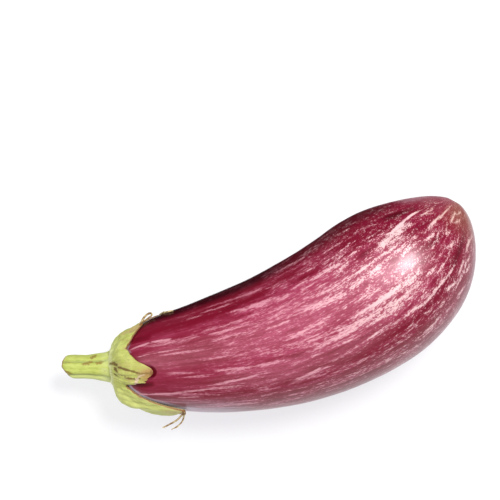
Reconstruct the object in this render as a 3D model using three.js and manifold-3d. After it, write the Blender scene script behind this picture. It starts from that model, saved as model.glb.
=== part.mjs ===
// A striped purple eggplant, cut with a short stem and lying on its side. Millimetres, +Z up.
// The stem points to -X and the blossom end to +X. The origin is on the surface that the
// eggplant lies on, under the middle of its box.

import * as THREE from 'three';
import { LoftGeometry } from 'three/addons/geometries/LoftGeometry.js';
import { mergeVertices } from 'three/addons/utils/BufferGeometryUtils.js';
import Module from 'manifold-3d';

const { clamp, degToRad, lerp, smoothstep } = THREE.MathUtils;
const UP = new THREE.Vector3(0, 0, 1);
const TURN = 2 * Math.PI;

// Fruit: round sections strung on a bent middle line, from the crown to the blossom end.
const CROWN = new THREE.Vector3(-78.8, 8.4, 24.5);
const LEAVES_CROWN = new THREE.Vector3(-44.5, -0.2, 27.5);
const MEETS_BLOSSOM = new THREE.Vector3(36.9, -26.1, 35.6);
const BLOSSOM = new THREE.Vector3(100, 28.6, 40.5);
// Half its outline, laid straight, as [radius, distance along]: the ends of four Bezier curves
// that meet at the neck, the belly and the shoulder, with two handles between each pair.
const FRUIT_LENGTH = 188.9;
const HALF_OUTLINE = [
  [0, 0], [16, 0], [19.4, 9.5],
  [21.1, 15.3], [24.8, 28.3], [34.6, 75.1],
  [36.4, 125.1], [36.6, 131.1], [37, 146.4],
  [30.4, 160.8], [24.5, 173.5], [11.5, FRUIT_LENGTH],
  [0, FRUIT_LENGTH],
];
const FRUIT_ROWS = 52;
const FRUIT_COLUMNS = 64;

// Calyx: a fleshy cap with a collar round the stem, which splits into five sepals.
const SKIN_GAP = 0.4;
const SOCKET_RADIUS = 7;
const SOCKET_FLOOR = 1.5;
const COLLAR_WALL = 1.3;
const COLLAR_TOP = 3.3;
const COLLAR_SHOULDER = 3;
const CAP_START = 9.3;
const CAP_THICKNESS = 2.5;
const EDGE_THICKNESS = 0.9;
const NOTCH = 18.3;
const RIB_HEIGHT = 0.6;
const RIB_WIDTH = 0.2;
const HUMP_LENGTH = 0.46;
const EDGE_WAVE = 0.5;
const TIP_ROUNDING = 0.12;
const COLUMNS_A_SEPAL = 14;
const ROWS_ON_TOP = [0, 0.1, 0.2, 0.3, 0.42, 0.54, 0.66, 0.78, 0.88, 0.96];
const ROWS_BENEATH = [0.95, 0.8, 0.65, 0.5, 0.35, 0.2, 0];
// Each sepal starts at a notch, at an angle round the fruit, and runs on to the next one's.
// Its tip has its own angle, its reach from the crown, and how far it stands off the skin.
// taper sets how fast each of its two sides draws in. hump swells it at the shoulder, or
// thins it where hump is below zero.
const SEPALS = [
  { start: -32, tip: 9, reach: 34.5, taper: [1.35, 0.7], hump: 0, stand: 0.3 },
  { start: 33, tip: 72, reach: 43.5, taper: [1.4, 1.3], hump: 2.2, stand: 1.7 },
  { start: 118, tip: 152, reach: 30, taper: [1.2, 1.2], hump: 0.4, stand: 0.2 },
  { start: 190, tip: 242, reach: 37, taper: [1.3, 1.5], hump: 0, stand: 1.4 },
  { start: 264, tip: 299, reach: 28.5, taper: [1.3, 1.8], hump: -0.9, stand: 0.6 },
];
// The dried ends of the sepals are threads. Each grows out of a sepal's tip and runs on
// through stations, given as [distance from the crown, angle, lift].
const THREAD_RADIUS = 0.55;
const THREADS = [
  { sepal: 4, stations: [[29.8, 286, 2.7], [33.5, 281, 3], [34.6, 288, 2.2], [33, 297, 2.2]] },
  { sepal: 1, stations: [[44, 79, 3.2], [42, 84, 5.2], [38.5, 90, 7.4], [33.5, 95, 9.6]] },
  { sepal: 1, stations: [[44, 80, 3.4], [42.5, 85, 5.4], [37.3, 95, 10]] },
  { sepal: 3, stations: [[38.5, 249, 2.2], [41, 251, 2], [43, 249, 1.6]] },
];

// Stem: a ribbed stalk that flares into the collar and is cut off at a slant.
const STEM_END = new THREE.Vector3(-104.3, 18, 22.6);
const STEM_RADIUS = 5.65;
const STEM_FLARE = 1;
const FLARE_LENGTH = 17;
const FOOT_GAP = 0.3;
const STEM_RIBS = 5;
const GROOVE = 0.55;
const GROOVE_STARTS = 1.5;
const GROOVE_FULL = 5;
const SLANT = 0.55;
// The last rings of the stem, as [distance short of the cut, share of the radius].
const CUT_ROUNDING = [[1.4, 1], [0.5, 0.93], [0, 0.8], [0, 0]];
const STEM_ROWS = 12;
const STEM_COLUMNS = 40;

const middleLine = new THREE.CubicBezierCurve3(CROWN, LEAVES_CROWN, MEETS_BLOSSOM, BLOSSOM);
middleLine.arcLengthDivisions = 600;

const halfOutline = new THREE.CurvePath();
for (let first = 0; first + 3 < HALF_OUTLINE.length; first += 3) {
  const ends = HALF_OUTLINE.slice(first, first + 4).map(([x, y]) => new THREE.Vector2(x, y));
  halfOutline.add(new THREE.CubicBezierCurve(...ends));
}
const OUTLINE_LENGTH = halfOutline.getLength();

// The point beside a curve: along it to u, then ahead, across to its right and up.
function beside(curve, u, ahead, across, up) {
  const forward = curve.getTangentAt(u);
  const right = new THREE.Vector3().crossVectors(forward, UP).normalize();
  const top = new THREE.Vector3().crossVectors(right, forward);
  return curve.getPointAt(u)
    .addScaledVector(forward, ahead)
    .addScaledVector(right, across)
    .addScaledVector(top, up);
}

// The point that lies lift above the skin: distance is measured over the skin from the crown,
// and angle round the fruit from its top towards -Y.
function above(distance, angle, lift) {
  const u = clamp(distance / OUTLINE_LENGTH, 0, 1);
  const spot = halfOutline.getPointAt(u);
  const run = halfOutline.getTangentAt(u);
  const radius = distance > 0 ? spot.x + lift * run.y : 0;
  const along = (spot.y - lift * run.x) / FRUIT_LENGTH;
  const reached = clamp(along, 0, 1);
  const past = (along - reached) * FRUIT_LENGTH;
  return beside(middleLine, reached, past, radius * Math.sin(angle), radius * Math.cos(angle));
}

function ring(columns, place) {
  return Array.from({ length: columns }, (_, column) => place(column));
}

function fruitGeometry() {
  const rings = [];
  for (let row = 0; row <= FRUIT_ROWS; row++) {
    const distance = OUTLINE_LENGTH * row / FRUIT_ROWS;
    rings.push(ring(FRUIT_COLUMNS, (column) => {
      const point = above(distance, TURN * column / FRUIT_COLUMNS, 0);
      point.z = Math.max(point.z, 0);
      return point;
    }));
  }
  return new LoftGeometry(rings);
}

// How near the tip of its sepal a column reaches: 1 at the tip, 0 at the notches.
function nearness(side, taper) {
  const rounded = (x) => Math.hypot(x, TIP_ROUNDING) - TIP_ROUNDING;
  return (1 - rounded(side) / rounded(1)) ** taper;
}

// One column of the calyx: its angle, the distance of its edge, and its place on its sepal.
function calyxColumn(column) {
  const index = Math.floor(column / COLUMNS_A_SEPAL);
  const sepal = SEPALS[index];
  const end = index + 1 < SEPALS.length ? SEPALS[index + 1].start : SEPALS[0].start + 360;
  const side = 2 * (column % COLUMNS_A_SEPAL) / COLUMNS_A_SEPAL - 1;
  const halfWidth = side < 0 ? sepal.tip - sepal.start : end - sepal.tip;
  const taper = sepal.taper[side < 0 ? 0 : 1];
  const wave = EDGE_WAVE * Math.sin(2.3 * column) * Math.sin(1.1 * column);
  return {
    angle: degToRad(sepal.tip + side * halfWidth),
    edge: lerp(NOTCH, sepal.reach, nearness(side, taper)) + wave,
    side,
    sepal,
  };
}

// A point of a column: out runs from the collar to the edge, onTop from its inside to its back.
function calyxPoint({ angle, edge, side, sepal }, out, onTop) {
  const distance = lerp(CAP_START, edge, out);
  const stand = sepal.stand * smoothstep(distance, NOTCH, sepal.reach) ** 1.5;
  const rib = RIB_HEIGHT * Math.max(0, 1 - Math.abs(side) / RIB_WIDTH) * Math.sin(Math.PI * out);
  const swell = Math.sin(Math.PI * Math.min(1, out / HUMP_LENGTH));
  const hump = sepal.hump * (1 - side * side) * swell;
  const thickness = lerp(CAP_THICKNESS, EDGE_THICKNESS, out);
  return above(distance, angle, SKIN_GAP + stand + onTop * (thickness + rib + hump));
}

function calyxGeometry() {
  const columns = Array.from({ length: SEPALS.length * COLUMNS_A_SEPAL }, (_, i) => calyxColumn(i));
  const level = (distance, lift) => columns.map(({ angle }) => above(distance, angle, lift));
  const spread = (out, onTop) => columns.map((column) => calyxPoint(column, out, onTop));
  return new LoftGeometry([
    level(0, SOCKET_FLOOR),
    level(SOCKET_RADIUS, SOCKET_FLOOR),
    level(SOCKET_RADIUS, COLLAR_SHOULDER),
    level(SOCKET_RADIUS + COLLAR_WALL / 2, COLLAR_TOP),
    level(SOCKET_RADIUS + COLLAR_WALL, COLLAR_SHOULDER),
    ...ROWS_ON_TOP.map((out) => spread(out, 1)),
    spread(1, 0.5),
    ...ROWS_BENEATH.map((out) => spread(out, 0)),
    level(SOCKET_RADIUS / 2, SKIN_GAP),
    level(0, SKIN_GAP),
  ]);
}

function threadGeometry({ sepal: index, stations }) {
  const section = new THREE.Shape();
  section.absarc(0, 0, THREAD_RADIUS, 0, TURN);
  const sepal = SEPALS[index];
  const tip = { angle: degToRad(sepal.tip), edge: sepal.reach, side: 0, sepal };
  const points = [calyxPoint(tip, 0.9, 0.5)];
  for (const [distance, angle, lift] of stations) {
    points.push(above(distance, degToRad(angle), lift));
  }
  return new THREE.ExtrudeGeometry(section, {
    extrudePath: new THREE.CatmullRomCurve3(points),
    steps: 4 * (points.length - 1),
    curveSegments: 3,
  });
}

function stemGeometry() {
  const start = above(0, 0, SOCKET_FLOOR + FOOT_GAP);
  const leaves = above(0, 0, SOCKET_FLOOR + 5);
  const path = new THREE.QuadraticBezierCurve3(start, leaves, STEM_END);
  const length = path.getLength();
  const stemRing = (distance, share) => ring(STEM_COLUMNS, (column) => {
    const angle = TURN * column / STEM_COLUMNS;
    const flare = STEM_FLARE * (1 - smoothstep(distance, 0, FLARE_LENGTH));
    const lobe = Math.abs(Math.cos(0.5 * STEM_RIBS * (angle + 0.12 * Math.sin(2 * angle))));
    const groove = GROOVE * (1 - lobe) ** 1.5 * smoothstep(distance, GROOVE_STARTS, GROOVE_FULL);
    const radius = share * (STEM_RADIUS + flare - groove);
    const across = radius * Math.sin(angle);
    const back = SLANT * Math.max(0, -across) * smoothstep(distance, 0.6 * length, length);
    return beside(path, distance / length, -back, across, radius * Math.cos(angle));
  });
  const rings = [stemRing(0, 0)];
  for (let row = 0; row < STEM_ROWS; row++) {
    rings.push(stemRing((length - CUT_ROUNDING[0][0]) * row / STEM_ROWS, 1));
  }
  for (const [short, share] of CUT_ROUNDING) {
    rings.push(stemRing(length - short, share));
  }
  return new LoftGeometry(rings);
}

const wasm = await Module();
wasm.setup();

function solid({ attributes, index }) {
  const bare = new THREE.BufferGeometry();
  bare.setAttribute('position', attributes.position);
  bare.setIndex(index);
  const merged = mergeVertices(bare, 1e-3);
  return new wasm.Manifold(new wasm.Mesh({
    numProp: 3,
    vertProperties: new Float32Array(merged.attributes.position.array),
    triVerts: new Uint32Array(merged.index.array),
  }));
}

function joined(geometries) {
  const whole = geometries.map(solid).reduce((sum, next) => sum.add(next)).getMesh();
  const geometry = new THREE.BufferGeometry();
  geometry.setAttribute('position', new THREE.BufferAttribute(whole.vertProperties, 3));
  geometry.setIndex(new THREE.BufferAttribute(whole.triVerts, 1));
  return geometry;
}

function piece(name, geometry, color, roughness) {
  const material = new THREE.MeshStandardMaterial({ color, roughness, metalness: 0 });
  const mesh = new THREE.Mesh(geometry, material);
  mesh.name = name;
  return mesh;
}

const group = new THREE.Group();
group.add(piece('fruit', fruitGeometry(), 0x964f60, 0.3));
group.add(piece('calyx', joined([calyxGeometry(), ...THREADS.map(threadGeometry)]), 0xb3bf62, 0.6));
group.add(piece('stem', stemGeometry(), 0xbccb64, 0.6));

export default group;
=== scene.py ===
import math

import bpy
import numpy as np
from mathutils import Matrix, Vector, noise
from mathutils.geometry import interpolate_bezier


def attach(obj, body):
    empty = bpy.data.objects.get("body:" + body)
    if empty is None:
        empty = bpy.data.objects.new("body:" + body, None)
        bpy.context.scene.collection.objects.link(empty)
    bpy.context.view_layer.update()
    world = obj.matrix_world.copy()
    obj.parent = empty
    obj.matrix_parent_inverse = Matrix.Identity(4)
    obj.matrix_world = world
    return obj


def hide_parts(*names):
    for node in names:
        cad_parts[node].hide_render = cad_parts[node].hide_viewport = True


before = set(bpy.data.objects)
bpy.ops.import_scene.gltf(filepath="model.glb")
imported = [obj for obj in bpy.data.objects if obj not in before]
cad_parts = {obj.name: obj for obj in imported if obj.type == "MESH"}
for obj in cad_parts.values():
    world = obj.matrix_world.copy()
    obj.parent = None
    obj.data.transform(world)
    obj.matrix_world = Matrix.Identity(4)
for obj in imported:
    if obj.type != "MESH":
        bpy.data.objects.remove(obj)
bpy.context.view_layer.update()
bpy.ops.object.select_all(action="DESELECT")

# ---- Fruit ----
# One grown piece: waxy skin over spongy flesh, thickest past its middle and bent as it hung.
# The skin is crimson, finely flecked with cream in streaks that run from the crown to the
# blossom end. Its outline is laid straight here, spun, and then bent along the middle line.
MM = 0.001
# The middle line's corners are in mm, and the outline's are mm off it and along it.
CROWN = (-78.8, 8.4, 24.5)
LEAVES_CROWN = (-44.5, -0.2, 27.5)
MEETS_BLOSSOM = (36.9, -26.1, 35.6)
BLOSSOM = (100, 28.6, 40.5)
HALF_OUTLINE = [
    (0, 0), (16, 0), (19.4, 9.5),
    (21.1, 15.3), (24.8, 28.3), (34.6, 75.1),
    (36.4, 125.1), (36.6, 131.1), (37, 146.4),
    (30.4, 160.8), (24.5, 173.5), (11.5, 188.9),
    (0, 188.9),
]
OUTLINE_STEPS = 56
FRUIT_COLUMNS = 288
MIDDLE_LINE_STEPS = 160
THINNER_BY = 1.3
THINNER_ANGLE, THINNER_SPREAD = -88, 38
THINNER_DISTANCE, THINNER_LENGTH = 22.5, 7
SCAR_RADIUS = 3.4 * MM
SCAR_DEPTH = 0.7 * MM
SWELL_SIZE = 28 * MM
SWELL_HEIGHT = 0.7 * MM
WELD = 0.001 * MM


def bezier_object(name, corners, steps):
    """A Bezier curve through every third corner, with the corners between them as handles."""
    bpy.ops.curve.primitive_bezier_curve_add()
    curve = bpy.context.object
    curve.name = name
    curve.data.dimensions = "3D"
    curve.data.twist_mode = "Z_UP"
    curve.data.resolution_u = steps
    knots = curve.data.splines[0].bezier_points
    knots.add(len(corners) // 3 - 1)
    for index, knot in enumerate(knots):
        knot.handle_left_type = knot.handle_right_type = "FREE"
        centre = Vector(corners[3 * index])
        knot.co = centre
        knot.handle_left = corners[3 * index - 1] if index else centre
        last = index == len(knots) - 1
        knot.handle_right = centre if last else corners[3 * index + 1]
    return curve


def in_metres(points):
    return [Vector(point) * MM for point in points]


def coordinates(mesh):
    """The places of a mesh's points, one row each."""
    flat = np.empty(3 * len(mesh.vertices))
    mesh.vertices.foreach_get("co", flat)
    return flat.reshape(-1, 3)


def attribute(mesh, name, kind, values):
    """Stores values at a mesh's points under a name."""
    layer = mesh.attributes.get(name) or mesh.attributes.new(name, kind, "POINT")
    field = "vector" if kind == "FLOAT_VECTOR" else "value"
    layer.data.foreach_set(field, np.ravel(values))


def applied(piece, name, kind, **settings):
    """Puts a modifier with its settings on a piece, and applies it."""
    bpy.context.view_layer.objects.active = piece
    modifier = piece.modifiers.new(name, kind)
    for setting, value in settings.items():
        setattr(modifier, setting, value)
    bpy.ops.object.modifier_apply(modifier=name)


def bent(piece, line):
    """Bends a piece that is laid straight along +X, with its top towards +Z, along a line."""
    applied(piece, "bend", "CURVE", object=line, deform_axis="POS_X")


middle_corners = in_metres([CROWN, LEAVES_CROWN, MEETS_BLOSSOM, BLOSSOM])
middle_line = bezier_object("middle_line", middle_corners, MIDDLE_LINE_STEPS)
outline_corners = in_metres([(along, 0, radius) for radius, along in HALF_OUTLINE])
bezier_object("fruit_skin", outline_corners, OUTLINE_STEPS)
bpy.ops.object.convert(target="MESH")
fruit = bpy.context.object
outline_points = coordinates(fruit.data)
outline_distance = np.r_[0, np.cumsum(np.linalg.norm(np.diff(outline_points, axis=0), axis=1))]
attribute(fruit.data, "distance", "FLOAT", outline_distance)
bpy.ops.object.mode_set(mode="EDIT")
bpy.ops.mesh.select_all(action="SELECT")
bpy.ops.mesh.spin(steps=FRUIT_COLUMNS, angle=2 * math.pi, center=(0, 0, 0), axis=(1, 0, 0))
bpy.ops.mesh.select_all(action="SELECT")
bpy.ops.mesh.remove_doubles(threshold=WELD)
bpy.ops.mesh.normals_make_consistent(inside=False)
bpy.ops.object.mode_set(mode="OBJECT")


def triples(first, second, third):
    """Joins three arrays into one of triples, each stretched to the shape they share."""
    return np.stack(np.broadcast_arrays(first, second, third), axis=-1)


def hill(value, centre, width):
    """A smooth hill, 1 high at its centre."""
    return np.exp(-(((value - centre) / width) ** 2))


def turn_from(angle, start):
    """How far an angle is round from another, from -180 to 180 degrees."""
    return (angle - start + 180) % 360 - 180


def slack(distance, angle):
    """How far the shoulder is flatter than round, in mm, on the side where it grew thinner."""
    around = hill(turn_from(np.degrees(angle), THINNER_ANGLE), 0, THINNER_SPREAD)
    return THINNER_BY * around * hill(distance, THINNER_DISTANCE, THINNER_LENGTH)


def over_skin(mesh, distances, angles):
    """Stores the place over the skin as (cos angle, sin angle, distance in mm)."""
    place = triples(np.cos(angles), np.sin(angles), distances / MM)
    attribute(mesh, "over_skin", "FLOAT_VECTOR", place)


straight = coordinates(fruit.data)
distances = np.empty(len(straight))
fruit.data.attributes["distance"].data.foreach_get("value", distances)
angles = np.arctan2(-straight[:, 1], straight[:, 2])
over_skin(fruit.data, distances, angles)
off_axis = np.hypot(straight[:, 1], straight[:, 2])
thinner = slack(distances / MM, angles) * MM
straight[:, 1:] *= (1 - thinner / np.maximum(off_axis, MM))[:, None]
scar = np.clip(1 - off_axis / SCAR_RADIUS, 0, 1) * (distances > outline_distance[-1] / 2)
straight[:, 0] -= SCAR_DEPTH * np.sin(scar * math.pi / 2) ** 2
fruit.data.vertices.foreach_set("co", straight.ravel())
swell = bpy.data.textures.new("skin_swell", "CLOUDS")
swell.noise_scale = SWELL_SIZE
applied(
    fruit, "swell", "DISPLACE",
    texture=swell, strength=SWELL_HEIGHT, mid_level=0.5, texture_coords="LOCAL",
)
bent(fruit, middle_line)


def pick(piece, chosen):
    """Opens a piece for editing with the vertices selected that chosen says yes to."""
    bpy.context.view_layer.objects.active = piece
    bpy.ops.object.mode_set(mode="EDIT")
    bpy.ops.mesh.select_mode(type="VERT")
    bpy.ops.mesh.select_all(action="DESELECT")
    bpy.ops.object.mode_set(mode="OBJECT")
    for vertex in piece.data.vertices:
        vertex.select = chosen(vertex.co)
    bpy.ops.object.mode_set(mode="EDIT")


# The flat spot that it lies on: what hangs below the table is pressed up to it.
pick(fruit, lambda spot: spot.z < 0)
bpy.ops.transform.resize(value=(1, 1, 0), center_override=(0, 0, 0))
bpy.ops.object.mode_set(mode="OBJECT")
bpy.ops.object.shade_smooth()


class Shade:
    """A socket in a material, for arithmetic that adds Math nodes as it goes."""

    def __init__(self, tree, socket):
        self.tree = tree
        self.socket = socket

    def node(self, kind, settings, inputs, output=0):
        """Adds a node. Settings such as an operation go first, then inputs by place or name."""
        made = self.tree.nodes.new(kind)
        for name, value in settings.items():
            setattr(made, name, value)
        for place, value in inputs.items():
            if isinstance(value, Shade):
                self.tree.links.new(value.socket, made.inputs[place])
            elif isinstance(value, tuple) and made.inputs[place].type == "RGBA":
                made.inputs[place].default_value = (*value, 1)
            else:
                made.inputs[place].default_value = value
        return Shade(self.tree, made.outputs[output])

    def math(self, operation, *values):
        return self.node("ShaderNodeMath", {"operation": operation}, dict(enumerate(values)))

    def __add__(self, other):
        return self.math("ADD", self, other)

    def __radd__(self, other):
        return self.math("ADD", other, self)

    def __sub__(self, other):
        return self.math("SUBTRACT", self, other)

    def __rsub__(self, other):
        return self.math("SUBTRACT", other, self)

    def __mul__(self, other):
        return self.math("MULTIPLY", self, other)

    def __rmul__(self, other):
        return self.math("MULTIPLY", other, self)

    def __pow__(self, other):
        return self.math("POWER", self, other)

    def rise(self, low, high, bottom=0.0, top=1.0):
        """Rises smoothly from bottom to top as this goes from low to high."""
        settings = {"interpolation_type": "SMOOTHSTEP"}
        inputs = {0: self, 1: low, 2: high, 3: bottom, 4: top}
        return self.node("ShaderNodeMapRange", settings, inputs)

    def mixed(self, first, second):
        """Mixes two colours by this."""
        settings = {"data_type": "RGBA"}
        return self.node("ShaderNodeMix", settings, {0: self, 6: first, 7: second}, output=2)

    def feeds(self, shader, name):
        """Links this to a socket of a shader."""
        self.tree.links.new(self.socket, shader.inputs[name])


def new_material(name, roughness, **constants):
    """A material, its shader with the constants set, and what its nodes are added by."""
    material = bpy.data.materials.new(name)
    material.use_nodes = True
    shader = material.node_tree.nodes["Principled BSDF"]
    shader.inputs["Roughness"].default_value = roughness
    for socket, value in constants.items():
        shader.inputs[socket.replace("_", " ")].default_value = value
    return material, shader, Shade(material.node_tree, None)


def stored(shade, name):
    """The three numbers that the mesh stores at each point under a name."""
    place = shade.node("ShaderNodeAttribute", {"attribute_name": name}, {}, output=1)
    return [shade.node("ShaderNodeSeparateXYZ", {}, {0: place}, output=part) for part in range(3)]


def stored_place(shade, name):
    """The stored cosine and sine of the angle, the distance in mm, and the angle in degrees."""
    cosine, sine, distance = stored(shade, name)
    return cosine, sine, distance, shade.math("ARCTAN2", sine, cosine) * (180 / math.pi)


def wrapped(shade, cosine, sine, radius, along):
    """A place to read noise at, which closes round a piece without a seam."""
    return shade.node("ShaderNodeCombineXYZ", {}, {0: cosine * radius, 1: sine * radius, 2: along})


def speckle(shade, place, scale, detail=2.0, roughness=0.5):
    inputs = {"Vector": place, "Scale": scale, "Detail": detail, "Roughness": roughness}
    return shade.node("ShaderNodeTexNoise", {}, inputs)


def roughen(shade, shader, strength, depth, height):
    """Gives a surface fine relief in the light, strength by depth in metres of a height."""
    inputs = {"Strength": strength, "Distance": depth, "Height": height}
    shade.node("ShaderNodeBump", {}, inputs).feeds(shader, "Normal")


# Strokes of cream flecks, and of deeper crimson, each as its start and its end, in mm from the
# crown and degrees round from the top, its half width in degrees and its strength. The cream
# strokes round the highlight also spread it, as painted highlight, and the dark strokes beside
# the cap's edges are partly deeper crimson and partly painted shadow of the sepals.
FLECKED = [
    (21, -26.5, 33, -29.5, 1.8, 1.0), (33, -30, 44, -28, 1.7, 1.1), (23, -12.5, 33, -15, 1.5, 0.7),
    (32, -15, 50, -15, 1.3, 0.65), (36, -11.5, 62, -10.5, 1.5, 0.65), (31, -24, 54, -21, 2.2, 0.3),
    (38, -58, 50, -57, 1.8, 0.25), (47, -55, 61, -54, 1.9, 0.4), (52, -48, 62, -47.5, 1.4, 0.5),
    (60, -51, 82, -50, 2, 0.6), (60, -58, 84, -54, 2.4, 0.6), (56, -30, 68, -30, 1.8, 0.3),
    (60, -28, 88, -27, 2.2, 0.5), (63, -23.5, 88, -22.5, 1.8, 0.65),
    (65, -16.5, 90, -15, 2.2, 0.55), (64, -4, 82, -5, 1.6, 0.35), (60, 0, 80, -1, 1.8, 0.35),
    (37, 3, 45, 3, 1.2, 0.3), (41, 10, 53, 11, 1.3, 0.3), (56, 8.5, 61, 9, 1.1, 0.4),
    (43, 16.3, 64, 15, 1.2, 0.6), (63, 12, 80, 13.5, 1.5, 1.1), (66, 16, 80, 15, 1.2, 0.6),
    (64, 7, 71, 7, 1.1, 0.4), (58, 26.3, 71, 25, 1.4, 0.6), (66, 24.3, 83, 22.7, 1.5, 1.0),
    (59, 31, 76, 30, 2.2, 0.5), (19.5, 43, 28.5, 40.3, 2.4, 1.1), (26, 41, 45, 34.5, 2, 0.9),
    (42, 35, 62, 29.7, 1.8, 0.8), (42, 42.4, 57, 40.3, 1.6, 0.7), (57, 39.3, 66, 39, 1.4, 0.55),
    (65, 39, 75, 38.5, 1.4, 0.45), (32, 65, 46, 59, 2.4, 0.6), (44, 59.5, 76, 55.5, 2.4, 0.6),
    (79, 35, 86, 40, 3, 0.6), (80, -55.5, 97, -51.5, 2.6, 0.7), (75, -38.5, 92, -37, 2.8, 0.7),
    (86, -38, 112, -33.5, 3.4, 0.95), (97, -50, 111, -47, 2.8, 0.6), (111, -49, 129, -47, 3, 0.5),
    (104, -66, 123, -65, 2, 0.65), (121, -69, 136, -65, 2.3, 0.65), (142, -62, 160, -62.5, 2, 0.65),
    (158, -66, 170, -62, 2, 0.5), (104, -58, 125, -57, 1.7, 0.45), (121, -57.5, 129, -50, 2.4, 0.7),
    (135, -53.3, 149, -53, 1.5, 0.85), (110, -37, 123, -39.5, 1.6, 0.9),
    (114, -33, 123, -33, 1.3, 0.65), (123, -37, 141, -36, 2.1, 1.0), (132, -45, 141, -44, 1.8, 0.7),
    (143, -44, 154, -46.5, 1.5, 0.7), (135, -40, 143, -40, 1.2, 0.6),
    (134, -29, 147, -32.5, 2.1, 0.8), (143, -35, 154, -36.5, 1.3, 0.7),
    (98, -28, 120, -29, 1.8, 0.45), (93, -22, 114, -23, 1.9, 0.6), (106, -25, 127, -26, 1.5, 0.45),
    (92, -14, 105, -14, 1.3, 1.0), (103, -16.3, 131, -16, 2.2, 0.9),
    (111, -14, 137, -13.3, 1.8, 0.8), (118, -22, 150, -21.5, 1.8, 0.7),
    (133, -20, 152, -21, 1.4, 0.7), (137, -15, 158, -16, 2.2, 0.8), (97, 1, 113, -2, 1.8, 0.7),
    (109, -3, 127, -4, 1.5, 0.7), (129, -4, 152, -3, 1.6, 0.6), (90, 6, 124, 7, 2.6, 0.6),
    (104, 10, 122, 12, 2.2, 0.6), (104, 14.3, 131, 13, 1.8, 0.85), (80, 13.5, 98, 15, 1.6, 0.8),
    (96.5, 21, 113, 19, 1.3, 1.0), (109, 19.2, 132, 18, 1.2, 0.5), (80, 22, 93, 21.5, 1.2, 0.5),
    (129, 4.5, 158, 5, 2.6, 1.1), (120, 9, 153, 11, 4.6, 0.95), (134, 15, 154, 16, 3, 1.0),
    (126, 25.3, 146, 24, 1.6, 1.0), (144, 25, 157, 26.5, 1.7, 0.8), (93, 38, 109, 32, 2.4, 0.75),
    (105, 32.3, 127, 26.5, 2.1, 0.7), (118, 40.7, 129, 40, 1.2, 0.95),
    (132, 44.3, 140, 43, 1.5, 0.8), (81, 46, 87, 45.5, 1.7, 0.65), (89, 46, 94, 46, 1.4, 0.6),
    (97, 46.3, 102, 46, 1.4, 0.55), (131, 53, 148, 60, 2.8, 0.7), (117, 51, 125, 52, 2, 0.4),
    (148, 36, 153, 36, 1.2, 0.65), (159.5, -27.5, 183, -32.5, 3.8, 1.05),
    (171, -31.5, 192, -38, 1.6, 1.3), (162, -24, 178, -27, 3.6, 0.25),
    (185, -37.2, 198, -36, 1.8, 1.0), (163, -27, 177, -22.5, 2.4, 0.8),
    (171, -26, 185, -29, 2.8, 0.7), (144, -22.3, 180, -19.5, 1.9, 1.0),
    (149, -16, 184, -15, 2.3, 0.75), (166, -11.5, 179, -10.5, 2, 1.0), (146, 6, 166, 6, 3.6, 0.7),
    (149, 13, 167, 14, 3.2, 0.8), (167, 15, 176, 16, 1.6, 1.0), (154, 17, 163, 17, 1.4, 0.8),
    (158, 24, 167, 24, 1.3, 0.75), (153, 25.7, 161, 29, 1.6, 1.0), (157, 28.8, 173, 30, 1.6, 1.2),
    (169, 30, 181, 32.7, 1.5, 1.1), (169, 21, 179, 21, 1.3, 0.8), (175, 22, 191, 21, 1.6, 0.75),
    (187.5, -11.5, 199, -11.3, 2, 1.5), (195, -9.3, 204, -8.5, 2.4, 1.3),
    (201, -8.5, 211, -5, 2.2, 1.1), (180, -5.5, 188, -2.7, 2.2, 1.0),
    (181, 2.7, 187, 4.3, 1.9, 0.9), (186, 2.5, 191, -0.5, 1.7, 0.7),
    (190, 9.5, 195.5, 12.5, 2.8, 1.0), (191, 9, 198, 2.5, 2, 0.7), (184, 15, 191.5, 24, 2.4, 0.8),
    (198, 8, 207, 10, 3, 1.1), (199, 13, 204, 26, 4, 1.0), (204, 12, 209, 27, 5, 1.1),
    (170, 39, 176, 43.5, 2.5, 1.0), (177, 42, 187, 43.3, 2, 1.0), (171, 46.5, 187, 49.5, 2.8, 1.0),
    (180, 50, 186, 58, 3, 0.9), (171, 55.5, 177, 59.5, 2.3, 0.9), (160, 41.7, 167, 43.7, 1.6, 0.85),
    (156.5, 35.5, 160.5, 39, 1.7, 1.0), (151, 52, 163, 51, 2.2, 1.0), (189, 43, 198, 50, 3, 1.0),
    (193, 45, 200, 62, 4, 0.8), (184, 47, 191, 57, 2.6, 0.8), (203, -38, 206, -32, 3, 0.8),
    (189, -29.5, 201, -28, 2, 0.9), (194, -28, 198, -19, 2.6, 0.8),
    (177, -55.3, 185, -54, 1.9, 0.75), (167, -49.3, 172, -49, 1.5, 0.65),
    (158, -48, 164, -48.7, 1.5, 0.7), (149, -55, 154, -54, 1.5, 0.6),
    (159, -40.3, 171, -40, 1.2, 0.55), (177, -47.5, 181, -46, 1.5, 0.6), (204, 30, 209, 45, 5, 0.7),
    (86, -28.5, 112, -26, 3.4, 0.4), (84, -20.5, 104, -19, 3.2, 0.4),
    (100, -19, 146, -17.5, 2.8, 0.4), (27, -27, 62, -24, 4.4, 0.4), (38, 12, 58, 12.5, 4.6, 0.35),
    (30, 39, 62, 36, 3.2, 0.35), (96, 37, 106, 35, 3, 0.5), (159, 7, 171, 9.5, 3.4, 0.6),
    (144, 19, 168, 19.5, 2.8, 0.45), (134, 25, 147, 25.5, 2.8, 0.6), (162, 26, 175, 27, 2.8, 0.5),
    (130, -14.5, 158, -13, 2.8, 0.4), (183.5, -36, 193, -37, 2.4, 0.8),
    (182, -45, 193, -43, 3, 0.5),
]
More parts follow.
